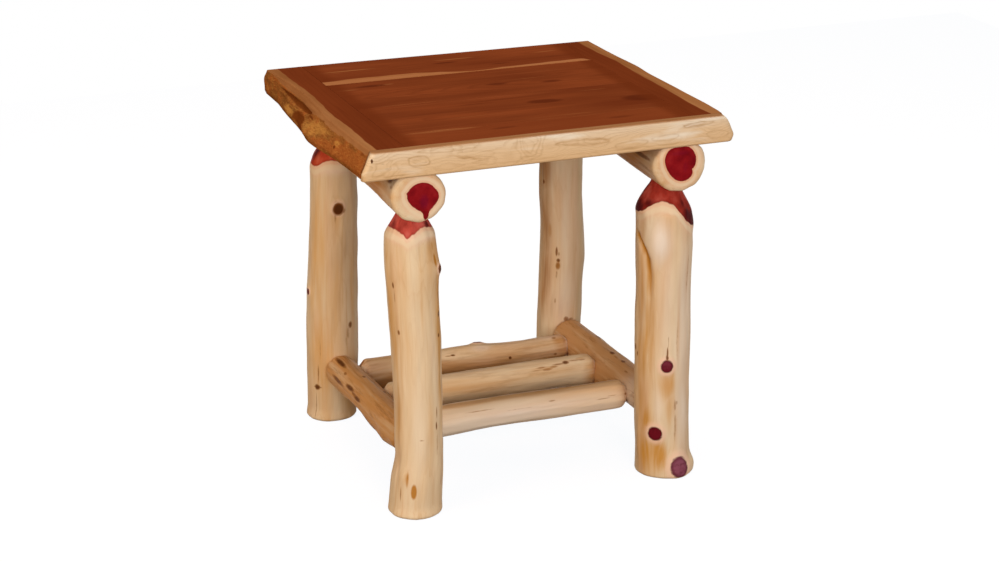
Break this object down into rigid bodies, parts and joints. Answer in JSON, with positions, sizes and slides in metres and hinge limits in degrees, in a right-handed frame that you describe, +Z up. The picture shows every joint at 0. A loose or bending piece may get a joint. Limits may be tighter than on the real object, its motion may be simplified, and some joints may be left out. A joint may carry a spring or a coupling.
{
  "type": "log nightstand",
  "caption": "Rustic nightstand of peeled cedar logs: log legs and beams carry a live-edge plank top, with an open shelf of log slats low between the legs.",
  "frame": {"origin": "on the floor, under the middle of the box around the nightstand", "axes": "+Z up, +X to the right seen from the front, the front faces -Y"},
  "size_m": [0.624, 0.533, 0.61],
  "materials": {
    "peeled_sapwood": "satin clear lacquer on peeled cedar log",
    "red_heartwood": "satin clear lacquer on red cedar plank",
    "pale_front_edge": "satin clear lacquer on pale cedar sapwood",
    "birch_dowel": "bare birch",
    "zinc_steel": "zinc plated"
  },
  "bodies": {
    "root": {"leg_front_left": "peeled_sapwood", "leg_front_right": "peeled_sapwood", "leg_back_left": "peeled_sapwood", "leg_back_right": "peeled_sapwood", "beam_left": "peeled_sapwood", "beam_right": "peeled_sapwood", "stretcher_left": "peeled_sapwood", "stretcher_right": "peeled_sapwood", "slat_front": "peeled_sapwood", "slat_middle": "peeled_sapwood", "slat_back": "peeled_sapwood", "top_end_left": "red_heartwood", "top_end_right": "red_heartwood", "top_plank_1": "red_heartwood", "top_plank_2": "red_heartwood", "top_plank_3": "red_heartwood", "top_plank_4": "red_heartwood", "top_front_edge": "pale_front_edge", "spline_left": "birch_dowel", "spline_right": "birch_dowel", "plank_dowel_1_left": "birch_dowel", "plank_dowel_1_middle": "birch_dowel", "plank_dowel_1_right": "birch_dowel", "plank_dowel_2_left": "birch_dowel", "plank_dowel_2_middle": "birch_dowel", "plank_dowel_2_right": "birch_dowel", "plank_dowel_3_left": "birch_dowel", "plank_dowel_3_middle": "birch_dowel", "plank_dowel_3_right": "birch_dowel", "edge_dowel_1": "birch_dowel", "edge_dowel_2": "birch_dowel", "edge_dowel_3": "birch_dowel", "edge_dowel_4": "birch_dowel", "tenon_screw_front_left": "zinc_steel", "tenon_screw_front_right": "zinc_steel", "tenon_screw_back_left": "zinc_steel", "tenon_screw_back_right": "zinc_steel", "top_screw_front_left": "zinc_steel", "top_screw_front_right": "zinc_steel", "top_screw_back_left": "zinc_steel", "top_screw_back_right": "zinc_steel", "slat_nail_front_left": "zinc_steel", "slat_nail_front_right": "zinc_steel", "slat_nail_middle_left": "zinc_steel", "slat_nail_middle_right": "zinc_steel", "slat_nail_back_left": "zinc_steel", "slat_nail_back_right": "zinc_steel"}
  },
  "joints": []
}
